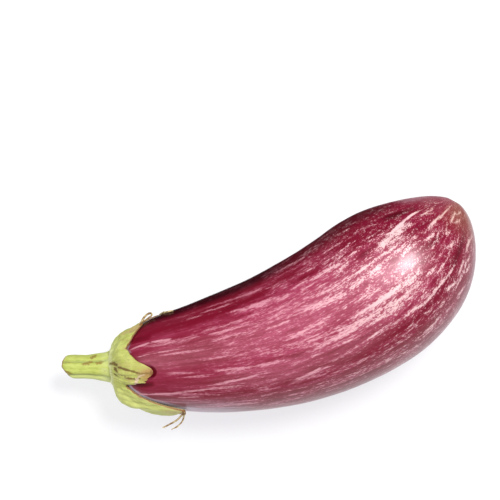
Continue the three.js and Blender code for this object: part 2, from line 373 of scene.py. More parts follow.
DARK = [
    (18, -42, 34, -37, 7, 0.9), (30, -42, 80, -43, 6, 0.5), (70, -45, 100, -46, 3.5, 0.7),
    (108, -42, 130, -41.5, 2.5, 0.7), (19, 28, 33, 23, 5, 1.5), (30, 24, 66, 22, 4, 0.35),
    (26, 46, 42, 43, 3, 0.7), (118, 4, 134, 5, 5, 0.5), (98, 15, 106, 15, 3, 0.6),
    (104, 22, 150, 21.5, 2, 0.6), (126, 31, 190, 35, 5, 0.6), (100, 27, 130, 35, 5, 0.4),
    (172, -50, 194, -45, 9, 1.2), (176, -22, 198, -15, 6, 0.75), (178, 28, 200, 37, 7, 1.0),
    (172, -5, 196, 8, 6, 0.5), (140, -50, 172, -44, 4, 0.5), (84, -31.5, 110, -31, 1.3, 0.7),
    (116, -25, 144, -25, 1.6, 0.6), (26, 60, 40, 66, 4, 0.5), (148, -30, 158, -28, 3, 0.6),
    (190, -44, 212, -20, 8, 0.5), (196, 26, 212, 40, 8, 0.6), (150, -40, 178, -39, 5, 0.6),
    (148, -60, 188, -60, 8, 0.5), (177, 0, 189, 3, 4, 0.4), (134, 46, 170, 48, 5, 0.45),
    (84, 48, 132, 47, 3.4, 0.35), (56, -60, 98, -60, 5, 0.45), (150, -33, 163, -32, 3.4, 0.6),
    (170, 4, 180, 8, 3, 0.6), (146, 12, 156, 13, 2.4, 0.5), (150, -30, 176, -30.5, 3, 0.4),
    (176, -49, 186, -48, 3, 0.25), (20, -12, 30, -12, 4, 0.4),
]


def stroked(distance, angle, marks):
    """How strongly strokes cover places over the skin."""
    total = np.zeros_like(distance)
    for start, start_angle, end, end_angle, half_width, strength in marks:
        share = np.clip((distance - start) / (end - start), 0, 1)
        aside = np.abs(angle - start_angle - (end_angle - start_angle) * share)
        across = np.clip(1 - aside / half_width, 0, 1)
        faded = np.sqrt(4 * share * (1 - share))
        total += strength * across**1.5 * (3 - 2 * across) * faded
    return total


def eased(value, low, high):
    """Rises smoothly from 0 to 1 as a value goes from low to high."""
    share = np.clip((value - low) / (high - low), 0, 1)
    return share * share * (3 - 2 * share)


def pale_and_table_reflection(distance, angle):
    """Where the skin beside the cap has stayed pale, out of the sun, and painted reflection of the
    table.
    """
    edge = np.interp(angle, [-60, -40, -29, -16, 0, 8], [28, 22.5, 20, 23.5, 31, 34])
    notch = eased(distance - edge, 2.0, 0.2) * eased(angle, -44, -33) * eased(angle, -16, -24)
    edge = np.interp(
        angle, [28, 31.5, 41, 47, 51, 55.5, 60.6, 64], [18.3, 18.5, 22.4, 25, 28, 31.5, 35, 42]
    )
    width = np.interp(angle, [30, 41, 47, 57, 64], [4.5, 6.5, 9, 20, 25])
    along_sepal = eased((distance - edge) / width, 1, 0.15)
    along_sepal *= eased(angle, 24, 31) * eased(angle, 75, 64)
    # Painted reflection of the white table: along the lower side of the neck and at both ends.
    beneath = np.interp(angle, [38, 46, 60, 70, 100, 130], [0, 0.36, 0.6, 0.72, 0.5, 0])
    beneath *= eased(distance, 95, 60)
    lower_end = 0.41 * eased(angle, 48, 68) * eased(angle, 125, 76) * eased(distance, 136, 176)
    lower_end *= 1 - 0.5 * eased(distance, 186, 210)
    upper_end = 0.4 * eased(angle, -44, -68) * eased(angle, -125, -86) * eased(distance, 170, 198)
    upper_end *= 1 - 0.6 * eased(distance, 198, 212)
    return np.maximum(notch * 0.6 + along_sepal * 0.95, beneath + lower_end + upper_end)


def milky_tone_and_sheen(distance, angle):
    """Pale pink tone, its own and painted sheen: most along the top of the neck, least at the far
    side and end.
    """
    around = eased(angle, -50, -30) * (1 - 0.6 * eased(angle, 20, 40))
    along = (1 - 0.6 * eased(distance, 104, 50)) * (1 - 0.8 * eased(distance, 158, 184))
    patch = 0.38 * hill(angle, -18, 20) * hill(distance, 116, 32)
    side = 0.62 * hill(angle, -50, 14) * hill(distance, 126, 36)
    # A painted highlight where the key light's reflection falls.
    painted_highlight = 0.4 * hill(angle, -4, 11) * hill(distance, 151, 12)
    return around * along + patch + side + painted_highlight


places = np.empty(3 * len(fruit.data.vertices))
fruit.data.attributes["over_skin"].data.foreach_get("vector", places)
skin_cosine, skin_sine, skin_distance = places.reshape(-1, 3).T
skin_angle = np.degrees(np.arctan2(skin_sine, skin_cosine))
marks = triples(
    stroked(skin_distance, skin_angle, FLECKED),
    stroked(skin_distance, skin_angle, DARK),
    milky_tone_and_sheen(skin_distance, skin_angle),
)
attribute(fruit.data, "marks", "FLOAT_VECTOR", marks)
attribute(fruit.data, "pale_and_table_reflection", "FLOAT", pale_and_table_reflection(skin_distance, skin_angle))

CRIMSON, END_CRIMSON = (0.175, 0.002, 0.017), (0.185, 0.0012, 0.023)
HAZE, END_HAZE = (0.385, 0.052, 0.116), (0.37, 0.035, 0.098)
NECK_PAINTED_SHADE, BELLY_PAINTED_SHADE = (0.03, 0.0004, 0.003), (0.095, 0.001, 0.009)
OLIVE = (0.22, 0.045, 0.022)
DARK_STROKE = (0.085, 0.001, 0.007)
TIP_SHADOW = (0.09, 0.0008, 0.007)
LILAC = (0.50, 0.42, 0.52)
NECK_CREAM, BELLY_CREAM, END_CREAM = (0.70, 0.33, 0.395), (0.76, 0.53, 0.535), (0.63, 0.41, 0.35)
PAINTED_SHADE_CREAM = (0.40, 0.06, 0.12)
CORK = (0.16, 0.07, 0.03)
SKIN_ROUND = 36
skin, skin_shader, shade = new_material(
    "striped_skin", 0.5, Coat_Roughness=0.28, Specular_IOR_Level=0.0
)
cosine, sine, distance, angle = stored_place(shade, "over_skin")
flecked, dark, pale_and_sheen = stored(shade, "marks")
paler = shade.node("ShaderNodeAttribute", {"attribute_name": "pale_and_table_reflection"}, {}, output=2)

# The grain is drawn out lengthwise, and less so as the skin turns in towards the end.
past_belly = shade.math("MAXIMUM", distance - 130, 0)
past_belly = past_belly * past_belly
streak_along = distance * 0.11 + past_belly * 0.003
fleck_along = distance * 0.14 + past_belly * 0.004
grit_along = distance * 0.28 + past_belly * 0.004
streak_place = wrapped(shade, cosine, sine, SKIN_ROUND, streak_along)
fleck_place = wrapped(shade, cosine, sine, SKIN_ROUND, fleck_along)
grit_place = wrapped(shade, cosine, sine, SKIN_ROUND, grit_along)
cloud = speckle(shade, streak_place, 0.12, 2) - 0.5
streak = speckle(shade, streak_place, 0.45, 3, 0.6) - 0.5
fleck = speckle(shade, fleck_place, 1.1, 3, 0.62) - 0.5
grit = speckle(shade, grit_place, 2.1, 2, 0.6) - 0.5

# What differs from side to side fades out on the underside, where the angles meet.
upward = angle.rise(-165, -115) * angle.rise(165, 115)
lower_neck = angle.rise(40, 52) * distance.rise(140, 115) * upward
lively = distance.rise(34, 88, 0.6, 1.0) + lower_neck * 0.5
strokes = flecked * (distance.rise(45, 125, 1.05, 0.5) + distance.rise(152, 172) * 0.12)
grain = fleck * 1.6 + grit * distance.rise(100, 150, 1.8, 2.3) + streak * 1.3
# Under the painted sheen the flecks and haze grow paler; the haze is less on the upper side, as
# painted shade.
pale = strokes + grain * lively + cloud * 0.5 - dark * distance.rise(160, 180, 0.35, 0.12)
pale = (pale + distance.rise(70, 150, -0.03, 0.0) + pale_and_sheen * 0.07).rise(0.12, 0.8)
mist = (streak * 1.5 + (fleck + grit) * 0.8) * lively
haze = pale_and_sheen * 0.42 + mist + flecked * 0.3 - dark * 0.5
haze = (haze - angle.rise(-36, -54) * upward * 0.1 + 0.12).rise(-0.1, 1.0)

pigment = distance.rise(140, 185).mixed(CRIMSON, END_CRIMSON)
pigment = haze.mixed(pigment, distance.rise(150, 190).mixed(HAZE, END_HAZE))
# Painted shade along the upper side, darkest at the neck.
painted_shade = angle.rise(-56, -70) * angle.rise(-150, -110) * distance.rise(176, 196, 1.0, 0.0)
pigment = (painted_shade * 0.9).mixed(pigment, distance.rise(92, 120).mixed(NECK_PAINTED_SHADE, BELLY_PAINTED_SHADE))
olive = distance.rise(190, 208) * angle.rise(-30, 15, 0.0, 0.75) * upward
pigment = olive.mixed(pigment, OLIVE)
pigment = dark.rise(0.4, 1.5).mixed(pigment, DARK_STROKE)
# A painted shadow of the upper sepal's tip: a dark crescent on the skin beside it, with less gloss.
painted_tip_shadow = (distance + (angle - 7) ** 2 * 0.034).rise(35.6, 34.6)
painted_tip_shadow = painted_tip_shadow * angle.rise(-5, 2) * angle.rise(19, 12)
pigment = painted_tip_shadow.mixed(pigment, TIP_SHADOW)
# Lilac where the skin is pale beside the cap, its own colour, and below and at the ends as painted
# reflection.
pigment = (paler + streak * 0.5).rise(0.25, 1.1).mixed(pigment, LILAC)
cream = distance.rise(90, 165).mixed(NECK_CREAM, BELLY_CREAM)
cream = distance.rise(182, 206).mixed(cream, END_CREAM)
# On the upper side the cream flecks are darker, as painted shade.
painted_shade_on_flecks = angle.rise(-44, -56, 0.0, 0.55) * upward * distance.rise(90, 125, 1.0, 0.5)
cream = painted_shade_on_flecks.mixed(cream, PAINTED_SHADE_CREAM)
color = ((pale - painted_tip_shadow) * distance.rise(75, 160, 0.65, 1.0)).mixed(pigment, cream)
color = distance.rise(214.5, 217).mixed(color, CORK)
color.feeds(skin_shader, "Base Color")
gloss = 1 - distance.rise(167, 188) * angle.rise(62, 38) * upward * 0.5 - painted_tip_shadow * 0.8
gloss.feeds(skin_shader, "Coat Weight")
pores = speckle(shade, fleck_place, 3.0, 2)
roughen(shade, skin_shader, 0.1, 0.2 * MM, pores + pale * 0.2)
fruit.data.materials.append(skin)
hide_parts("fruit")
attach(fruit, "root")

# ---- Calyx ----
# The green cap that the fruit hangs from, one fleshy growth: a collar round the stem that
# splits into five sepals. They clasp the crown, and thin out to dry brown edges and tips.
SKIN_GAP = 0.4
# The collar is given as mm from the crown and mm above the skin, from inside the stem outwards.
COLLAR = [
    (0, 1.5), (5, 1.5), (6.3, 1.6), (6.4, 2.6), (6.4, 3.5), (6.5, 4.2), (6.8, 4.45), (7.2, 4.3),
    (7.6, 4.1), (8.05, 3.9), (8.5, 3.7), (8.9, 3.6),
]
CAP_START = 9.3
CAP_THICKNESS = 2.5
EDGE_THICKNESS = 0.75
EDGE_WAVE = 0.3
UNDER_CAP = (5, 0)
NOTCH = 18.3
HUMP_LENGTH = 0.46
TIP_ROUNDING = 0.12
# Each sepal starts at one angle and has its tip at another, in degrees round from the top, and
# reaches so many mm from the crown. Its hump, its stand-off at the tip and its curl are in mm.
# Its two edges say how they draw in from the tip to the notches.
SEPALS = [
    {"start": -30, "tip": 8, "reach": 33.6, "hump": 0, "stand": 0.3, "curl": 0, "edges": (
        [(0, 1), (0.06, 0.99), (0.12, 0.96), (0.18, 0.9), (0.25, 0.79),
         (0.38, 0.54), (0.6, 0.34), (0.8, 0.21), (1, 0.1)],
        [(0, 1), (0.08, 0.98), (0.16, 0.91), (0.27, 0.82), (0.42, 0.73),
         (0.55, 0.65), (0.65, 0.44), (0.76, 0.2), (0.92, 0.03), (1, 0)],
    )},
    {"start": 30, "tip": 60.8, "reach": 45, "hump": 1.4, "stand": 1.0, "curl": 3.5, "edges": (
        [(0, 1), (0.06, 0.9), (0.12, 0.74), (0.2, 0.6), (0.3, 0.49),
         (0.42, 0.37), (0.52, 0.26), (0.7, 0.15), (0.85, 0.06), (1, 0)],
        [(0, 1), (0.1, 0.94), (0.22, 0.84), (0.34, 0.7), (0.48, 0.5),
         (0.66, 0.28), (0.85, 0.1), (1, 0)],
    )},
    {"start": 118, "tip": 152, "reach": 30, "hump": 0.4, "stand": 0.2, "curl": 0.5, "edges": (
        1.2, 1.2,
    )},
    {"start": 190, "tip": 242, "reach": 37, "hump": 0, "stand": 1.4, "curl": 0, "edges": (
        1.3, 1.5,
    )},
    {"start": 264, "tip": 296, "reach": 29, "hump": -0.9, "stand": 0.6, "curl": 0, "edges": (
        1.3, [(0, 1), (0.1, 0.92), (0.2, 0.84), (0.4, 0.67), (0.6, 0.5), (0.85, 0.32), (1, 0.15)],
    )},
]
SEPAL_COLUMNS = 48
ROWS_ON_TOP = 34
ROWS_ROUND_EDGE = 7
ROWS_BENEATH = 10
outline_run = np.gradient(outline_points, outline_distance, axis=0)


def laid(distance, angle, lift):
    """Places above the straight skin, from mm over it, degrees round it and mm of lift."""
    over = outline_distance / MM
    along, radius = (np.interp(distance, over, outline_points[:, axis]) / MM for axis in (0, 2))
    ahead, outward = (np.interp(distance, over, outline_run[:, axis]) for axis in (0, 2))
    radius = np.where(np.asarray(distance) > 0, radius + lift * ahead, 0)
    radius = np.maximum(radius - slack(np.asarray(distance), np.radians(angle)), 0)
    across, up = radius * np.sin(np.radians(angle)), radius * np.cos(np.radians(angle))
    return triples(along - lift * outward, -across, up) * MM


def shoulder(distance, angle):
    """How far the cap bulges, in mm, beside the stem: on its upper and its lower side."""
    upper = hill(turn_from(angle, -92), 0, 40) * hill(distance, 12.9, 3.4)
    lower = hill(turn_from(angle, 80), 0, 34) * hill(distance, 13, 5)
    return upper + 1.4 * lower


def skin_of_rings(name, places, **attributes):
    """A closed skin through rings of points, from the pole at the first to that at the last."""
    rings, columns = places.shape[:2]
    bpy.ops.mesh.primitive_grid_add(x_subdivisions=columns, y_subdivisions=rings - 1)
    made = bpy.context.object
    made.name = name
    closed = [np.hstack([values, values[:, :1]]) for values in (places, *attributes.values())]
    made.data.vertices.foreach_set("co", closed[0].ravel())
    for key, values in zip(attributes, closed[1:]):
        attribute(made.data, key, "FLOAT_VECTOR", values)
    bpy.ops.object.mode_set(mode="EDIT")
    bpy.ops.mesh.select_all(action="SELECT")
    bpy.ops.mesh.remove_doubles(threshold=2 * WELD)
    bpy.ops.mesh.dissolve_degenerate(threshold=WELD)
    bpy.ops.mesh.normals_make_consistent(inside=False)
    bpy.ops.object.mode_set(mode="OBJECT")
    bpy.ops.object.shade_smooth()
    return made


def lumps(places, size, octaves=2):
    """Smooth unevenness from -1 to 1 at places in metres, with lumps of a size in mm."""
    spots = places.reshape(-1, 3) / (size * MM)
    basis = {"noise_basis": "PERLIN_ORIGINAL"}
    uneven = [noise.fractal(Vector(spot), 0.8, 2.0, octaves, **basis) for spot in spots]
    return np.array(uneven).reshape(places.shape[:-1])


def nearness(side, edge):
    """How near the tip of its sepal an edge reaches: 1 at the tip, 0 at the notches.
    The edge is a list of (side, nearness), or the power by which it draws in."""
    if isinstance(edge, list):
        return np.interp(side, *zip(*edge))
    rounded = np.hypot(side, TIP_ROUNDING) - TIP_ROUNDING
    return (1 - rounded / (math.hypot(1, TIP_ROUNDING) - TIP_ROUNDING)) ** edge


def sepal_columns():
    """Angle, edge distance, side, and the sepal's measures, of each column of the calyx."""
    rows = []
    for index, sepal in enumerate(SEPALS):
        last = index == len(SEPALS) - 1
        end = SEPALS[0]["start"] + 360 if last else SEPALS[index + 1]["start"]
        for step in range(SEPAL_COLUMNS):
            side = 2 * step / SEPAL_COLUMNS - 1
            half_width = sepal["tip"] - sepal["start"] if side < 0 else end - sepal["tip"]
            place = 14 * (index + step / SEPAL_COLUMNS)
            closing = min(1, (14 * len(SEPALS) - place) / 3)
            wave = EDGE_WAVE * math.sin(2.3 * place) * math.sin(1.1 * place) * closing
            reached = nearness(abs(side), sepal["edges"][side >= 0])
            edge = NOTCH + (sepal["reach"] - NOTCH) * reached + wave
            if index == 0 and side > 0.35:
                edge += 1.1 * math.sin(37 * side) * hill(side, 0.58, 0.22)
            measures = (sepal[measure] for measure in ("reach", "hump", "stand", "curl"))
            rows.append((sepal["tip"] + side * half_width, edge, side, *measures))
    return np.array(rows).T


column_angle, column_edge, column_side, reach, hump, stand, curl = sepal_columns()
half_turn = np.linspace(90, -90, ROWS_ROUND_EDGE + 2)[1:-1]
edge_radius = EDGE_THICKNESS / 2 / (column_edge - CAP_START)
out = np.concatenate([
    np.linspace(0, 1, ROWS_ON_TOP)[:, None] * (1 - edge_radius),
    1 - edge_radius * (1 - np.cos(np.radians(half_turn)))[:, None],
    np.linspace(1, 0, ROWS_BENEATH)[:, None] * (1 - edge_radius),
])
on_top = np.concatenate([
    np.ones(ROWS_ON_TOP), 0.5 + 0.5 * np.sin(np.radians(half_turn)), np.zeros(ROWS_BENEATH)
])[:, None]

# The longest sepal clasps the skin along its one edge and curls up along its other.
cap_distance = CAP_START + (column_edge - CAP_START) * out
clasping = np.where(curl > 1, eased(column_side, -0.8, 0.1), 1)
stand_off = stand * clasping * eased(cap_distance, NOTCH, reach) ** 1.5
arch = np.sin(math.pi * np.clip(out, 0, 1))
midrib = 0.5 * hill(column_side, 0, 0.13) * arch
veins = 0.24 * (0.5 + 0.5 * np.cos(23 * np.abs(column_side))) * arch**0.5
swelling = hump * (1 - column_side**2) ** 1.5 * np.sin(math.pi * np.minimum(1, out / HUMP_LENGTH))
full = 2.5 * column_side**4 * np.maximum(0, np.cos(np.radians(column_angle))) ** 2
thickness = CAP_THICKNESS + (EDGE_THICKNESS - CAP_THICKNESS) * out ** (1 + full)
thickness += 0.6 * eased(cap_distance, 13, 9)
curling = curl * np.maximum(column_side, 0) * eased(cap_distance, 20, 31)
bulge = shoulder(cap_distance, column_angle)
smooth_lift = SKIN_GAP + stand_off + curling + on_top * (thickness + swelling + bulge)
cap = laid(cap_distance, column_angle, smooth_lift)
rough = 0.42 * lumps(cap, 7, 2) + 0.24 * lumps(cap, 1.8, 2)
cap = laid(cap_distance, column_angle, smooth_lift + on_top * (midrib + veins + rough))
collar = np.stack([
    laid(distance, column_angle, lift + shoulder(distance, column_angle))
    for distance, lift in COLLAR
])
ruffled = (np.arange(len(COLLAR)) > 3)[:, None, None]
collar += (collar * (0, 1, 1)) * 0.045 * lumps(collar, 2.6)[..., None] * ruffled
collar += np.array([MM, 0, 0]) * 0.7 * lumps(collar * 1.1, 3.2)[..., None] * ruffled
beneath = np.stack([laid(distance, column_angle, SKIN_GAP) for distance in UNDER_CAP])
calyx_rings = np.concatenate([collar, cap, beneath])
ring_distance = np.vstack([
    *(0 * column_angle + distance for distance, _ in COLLAR), cap_distance,
    *(0 * column_angle + distance for distance in UNDER_CAP),
])
ring_on_top = np.concatenate([np.ones(len(COLLAR)), on_top[:, 0], [0, 0]])[:, None]
turned = np.radians(column_angle)
calyx = skin_of_rings(
    "calyx_sepals", calyx_rings,
    over_skin=triples(np.cos(turned), np.sin(turned), ring_distance),
    leaf=triples(np.abs(column_side), column_edge - ring_distance, ring_on_top),
)
bent(calyx, middle_line)


def stroke(shade, distance, angle, marks):
    """How strongly any of some soft marks covers a place, from
    (start distance, start angle, end distance, end angle, half width in degrees, strength)."""
    total = 0.0
    for start, start_angle, end, end_angle, half_width, strength in marks:
        along = shade.node("ShaderNodeMapRange", {}, {0: distance, 1: start, 2: end})
        aside = shade.math("ABSOLUTE", angle - (along * (end_angle - start_angle) + start_angle))
        across = aside.rise(half_width, 0.0)
        faded = (along * (1 - along) * 4) ** 0.5
        total = across * faded * strength + total
    return total


# Dark scabs, tanned patches and the pale crack, each laid out as stroke takes them.
SCARS = [
    (8, -14, 13, -11, 7, 0.9), (11, -11, 15.5, -5, 6, 1.1), (11, -2, 15, 1, 4, 1.1),
    (12, 2, 16, 6, 4, 1.0), (11, 11, 15, 14, 3.5, 0.8), (15.2, -2.5, 22, 3, 3.3, 1.25),
    (18.5, 1, 27, 6.6, 2.3, 1.05), (24, 6.8, 34.5, 8.5, 2.8, 0.66), (19.5, 14, 25, 15, 3, 0.9),
    (24.2, 14.5, 27.6, 13.5, 2.6, 0.8), (15, 9, 20.5, 12, 2.6, 0.5), (12, -16, 18, -9, 2, 0.45),
    (17.5, 25, 20.5, 28, 3, 0.9),
]
TANNED = [
    (25, 9, 37, 8, 8, 1.3), (17, 18, 30, 17, 8, 0.55), (12, 6, 25, 11, 11, 0.4),
    (8, -10, 18, -4, 12, 0.4), (22, -58, 31, -63, 11, 1.6), (15.5, -64, 24, -56, 7, 0.8),
    (8, 16, 14, 26, 10, 0.4), (16, -50, 24, -38, 5, 0.4), (14, -7, 32, 0, 14, 0.4),
    (34, 62, 46, 67, 14, 0.9), (18, -33, 22, -28, 5, 0.8),
]
CRACK = [
    (23.2, 24, 26.2, 21, 2.5, 1.2), (23.4, 21.5, 25.8, 18, 2.5, 1.2),
    (23.8, 18.5, 26.2, 15, 2.5, 1.2), (24.4, 15, 27.2, 11.5, 2.3, 1.1), (25.6, 11.5, 30, 9, 2, 0.9),
]
CALYX_GREENS = ((0.54, 0.575, 0.16), (0.36, 0.39, 0.065))
LOWER_PAINTED_LIGHT, UPPER_PAINTED_LIGHT = (0.66, 0.68, 0.29), (0.66, 0.73, 0.25)
TAN, BROWN_TIP, DRY_RIM = (0.44, 0.34, 0.13), (0.36, 0.215, 0.065), (0.23, 0.10, 0.03)
FUZZ_AND_PAINTED_LIGHT, SCAB, CRACKED = (0.84, 0.85, 0.53), (0.17, 0.11, 0.024), (0.62, 0.47, 0.31)
INNER_FACE = (0.42, 0.45, 0.16)
GRAIN_ROUND, MOTTLE_ROUND, PIT_ROUND = 24, 20, 22
leaf, leaf_shader, shade = new_material("calyx_skin", 0.55, Specular_IOR_Level=0.3)
cosine, sine, distance, angle = stored_place(shade, "over_skin")
side, margin, outer = stored(shade, "leaf")
grain_place = wrapped(shade, cosine, sine, GRAIN_ROUND, distance * 0.16)
grain = speckle(shade, grain_place, 1.3, 4, 0.6)
mottle = speckle(shade, wrapped(shade, cosine, sine, MOTTLE_ROUND, distance), 0.22, 3, 0.55)
pit_place = wrapped(shade, cosine, sine, PIT_ROUND, distance)
pitted = speckle(shade, pit_place, 1.6, 2)
frayed = speckle(shade, pit_place, 0.8, 3, 0.6) - 0.5
deep = (grain - 0.5) * 1.3 + (mottle - 0.5) * 1.4 + 0.45
color = deep.rise(0.0, 1.0).mixed(*CALYX_GREENS)
wander = angle + frayed * 5
tanned = stroke(shade, distance, wander, TANNED) + margin.rise(1.3, 0.1) * (frayed + 0.3)
tanned = (tanned + frayed * 1.3 + (pitted - 0.5) * 0.5).rise(0.05, 1.1)
color = tanned.mixed(color, TAN)
brown_tip = distance.rise(25, 31) * angle.rise(26, 14) * angle.rise(-3, 7, 0.1, 1.0)
color = brown_tip.mixed(color, BROWN_TIP)
# Painted light: the lower sepal is lighter where it faces down, and the upper side beside the stem
# too.
color = angle.rise(28, 52, 0.0, 0.33).mixed(color, LOWER_PAINTED_LIGHT)
color = (angle.rise(-14, -50) * distance.rise(20, 13) * 0.5).mixed(color, UPPER_PAINTED_LIGHT)
# The collar's pale fuzz, lightened further as painted light where it faces away from the lamps.
fuzzy = (distance + frayed * 8).rise(12.5, 7.5) * pitted.rise(0.38, 0.62, 0.25, 1.0)
color = (fuzzy * 0.9).mixed(color, FUZZ_AND_PAINTED_LIGHT)
ragged = distance + frayed * 5
scarred = stroke(shade, ragged, wander, SCARS) + frayed * 0.9
dotted = pitted.rise(0.64, 0.72) * frayed.rise(-0.05, 0.1) * angle.rise(24, 14) * 0.45
color = (scarred.rise(0.15, 0.9) + dotted).mixed(color, SCAB)
crack = stroke(shade, ragged * 0.3 + distance * 0.7, wander, CRACK)
color = crack.rise(0.3, 0.75).mixed(color, CRACKED)
rimmed = (margin + frayed).rise(0.6, 0.2) * (angle.rise(20, 34) + angle.rise(-22, -34))
tip_dried = side.rise(0.2, 0.05) * (margin + frayed * 3).rise(2.0, 0.4)
color = (rimmed + tip_dried).rise(0.1, 0.9).mixed(color, DRY_RIM)
color = outer.rise(0.4, 0.1).mixed(color, INNER_FACE)
color.feeds(leaf_shader, "Base Color")
relief = grain * 0.6 + pitted * 0.35 - scarred.rise(0.3, 0.65) * 0.8
roughen(shade, leaf_shader, 0.5, 0.4 * MM, relief)
calyx.data.materials.append(leaf)
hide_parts("calyx")
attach(calyx, "root")

# ---- Threads ----
# The dead ends of the sepals: fibres that have dried to straw, curled and split from the tip.
# Each is its sepal's place in the list, its stations as mm from the crown, degrees round from
# the top and mm above the skin, and its radius in mm.
THREADS = [
    (4, [
        (27.8, 280, 1.2), (29, 276, 2.1), (30.5, 275, 2.6), (32.2, 276, 2.7), (33.2, 278, 2.2),
        (33, 280, 1.5), (31.5, 282, 1.2), (29.8, 285, 1.1), (28.2, 289, 1.1),
    ], 0.6),
    (1, [
        (44.5, 64, 1.6), (44.0, 68, 1.9), (42.8, 73, 2.6), (40.5, 79, 4.7),
        (37.2, 83, 7.0), (34.2, 86, 9.0),
    ], 0.6),
    (1, [
        (44.2, 70, 1.4), (43.5, 78, 2.5), (42.5, 84, 5.2), (40.2, 88, 7.8), (38.0, 90, 9.5),
    ], 0.45),
    (1, [(41.6, 86, 6.3), (40.6, 86, 7.9), (39.4, 85, 8.7)], 0.24),
    (3, [
        (37, 254, 0.5), (38.5, 267, 0.4), (39.6, 277, 0.45), (41, 281, 0.5), (42.8, 282, 0.45),
        (44.6, 283.5, 0.3),
    ], 0.6),
    (3, [(38.8, 274, 0.3), (40.5, 279, 0.3), (42.5, 281, 0.3)], 0.6),
]
THREAD_ROOT = 0.9
BRANCH_RADIUS = 0.3
ROOT_SWELL, TAPER = 1.1, 0.55
strands = []
for index, stations, radius in THREADS:
    sepal = SEPALS[index]
    root_distance = CAP_START + THREAD_ROOT * (sepal["reach"] - CAP_START)
    root_lift = SKIN_GAP + sepal["stand"] + 0.5 * EDGE_THICKNESS
    rooted = radius > BRANCH_RADIUS
    knots = [(root_distance, sepal["tip"], root_lift), *stations] if rooted else stations
    corners = [Vector(laid(*knot)) for knot in knots]
    bpy.ops.curve.primitive_bezier_curve_add()
    strand = bpy.context.object
    strand.name = "dried_threads"
    strand.data.bevel_depth = radius * MM
    strand.data.bevel_resolution = 3
    strand.data.resolution_u = 14
    strand.data.use_fill_caps = True
    points = strand.data.splines[0].bezier_points
    points.add(len(corners) - 2)
    for number, (point, corner) in enumerate(zip(points, corners)):
        point.co = corner
        point.handle_left_type = point.handle_right_type = "AUTO"
        point.radius = ROOT_SWELL - TAPER * number / (len(corners) - 1)
    bpy.ops.object.convert(target="MESH")
    strands.append(bpy.context.object)
bpy.ops.object.select_all(action="DESELECT")
for strand in strands:
    strand.select_set(True)
bpy.context.view_layer.objects.active = strands[0]
bpy.ops.object.join()
threads = strands[0]
bpy.ops.object.shade_smooth()
bent(threads, middle_line)
STRAW = ((0.24, 0.13, 0.045), (0.62, 0.50, 0.26))
straw, straw_shader, shade = new_material("dried_straw", 0.7, Specular_IOR_Level=0.2)
place = shade.node("ShaderNodeTexCoord", {}, {}, output=3)
blotch = speckle(shade, place, 420, 3, 0.6)
blotch.rise(0.38, 0.62).mixed(*STRAW).feeds(straw_shader, "Base Color")
roughen(shade, straw_shader, 0.5, 0.3 * MM, speckle(shade, place, 1500, 2))
threads.data.materials.append(straw)
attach(threads, "root")

# ---- Stem ----
# A woody green stalk with rounded ribs that run on into the calyx. It flares at its foot,
# stands in the collar, and was cut off at a slant, which dried the rim of the cut brown.
STEM_END = (-104.3, 17.6, 22.6)
STEM_RADIUS = 5.87
FOOT_BACK, BOW_BACK = 1.8, 6.5
STEM_FLARE = 1.1
FLARE_LENGTH = 15
FOOT_FLARE = 0.7
FOOT_ASIDE = (0.2, 0.6, 0)
SLANT = 0.7
CORNER = 0.45
# Each groove is its place in degrees round, its depth in mm and its width in degrees.
GROOVES = [
    (27, 0.7, 8), (-46, 0.8, 9), (-112, 0.6, 12), (176, 0.6, 12), (104, 0.6, 12), (-8, 0.2, 7),
]
LOBE_TURN, LOBE_SPREAD, LOBE_HEIGHT = -92, 30, 0.55
STEM_COLUMNS = 120
STEM_ROWS = 70
STEM_LINE_STEPS = 96
CUT_LENGTH = 2.8
# The cut, from its rim inwards: mm short of the end, share of the radius, and how bare it is.
CUT = [
    (2.2, 0.995, 0), (1.5, 0.98, 0), (0.9, 0.945, 0.1), (0.5, 0.905, 0.4), (0.22, 0.85, 0.9),
    (0.12, 0.8, 1), (0.3, 0.74, 1), (0.4, 0.5, 1), (0.4, 0.25, 1), (0.4, 0, 1),
]

crown, leaves = in_metres([CROWN, LEAVES_CROWN])
forward = (leaves - crown).normalized()
beside = crown + Vector(FOOT_ASIDE) * MM
foot, bow = (beside - forward * back * MM for back in (FOOT_BACK, BOW_BACK))
cut_end = Vector(STEM_END) * MM
stem_corners = [foot, foot.lerp(bow, 2 / 3), cut_end.lerp(bow, 2 / 3), cut_end]
stem_line = bezier_object("stem_line", stem_corners, STEM_LINE_STEPS)
stem_path = interpolate_bezier(*stem_corners, 200)
stem_length = sum((after - before).length for before, after in zip(stem_path, stem_path[1:])) / MM
column_turn = np.linspace(0, 360, STEM_COLUMNS, endpoint=False)
rows = [(0, 0, 0)]
rows += [(up, 1, 0) for up in np.linspace(0, stem_length - CUT_LENGTH, STEM_ROWS)]
rows += [(stem_length - short, share, cut) for short, share, cut in CUT]
up_stem, share, cut = (np.array(column)[:, None] for column in zip(*rows))
flare = STEM_FLARE * (1 - eased(up_stem, 0, FLARE_LENGTH)) + FOOT_FLARE * (1 - eased(up_stem, 1, 7))
grooves = sum(
    depth * hill(turn_from(column_turn, centre), 0, width) for centre, depth, width in GROOVES
)
lobe = LOBE_HEIGHT * hill(turn_from(column_turn, LOBE_TURN), 0, LOBE_SPREAD)
lobe = lobe * eased(up_stem, 11, 6)
stem_radius = STEM_RADIUS + flare - grooves * eased(up_stem, 1.5, 5) + lobe
turned = np.radians(column_turn)


def stalk(radius):
    """Places on the stem while it is straight, its end slanting back to one side."""
    across = radius * np.sin(turned)
    back = SLANT * np.maximum(0, -across) + CORNER * np.maximum(0, across - 2.5)
    back *= eased(up_stem, 0.6 * stem_length, stem_length)
    return triples(up_stem - back, -across, radius * np.cos(turned)) * MM


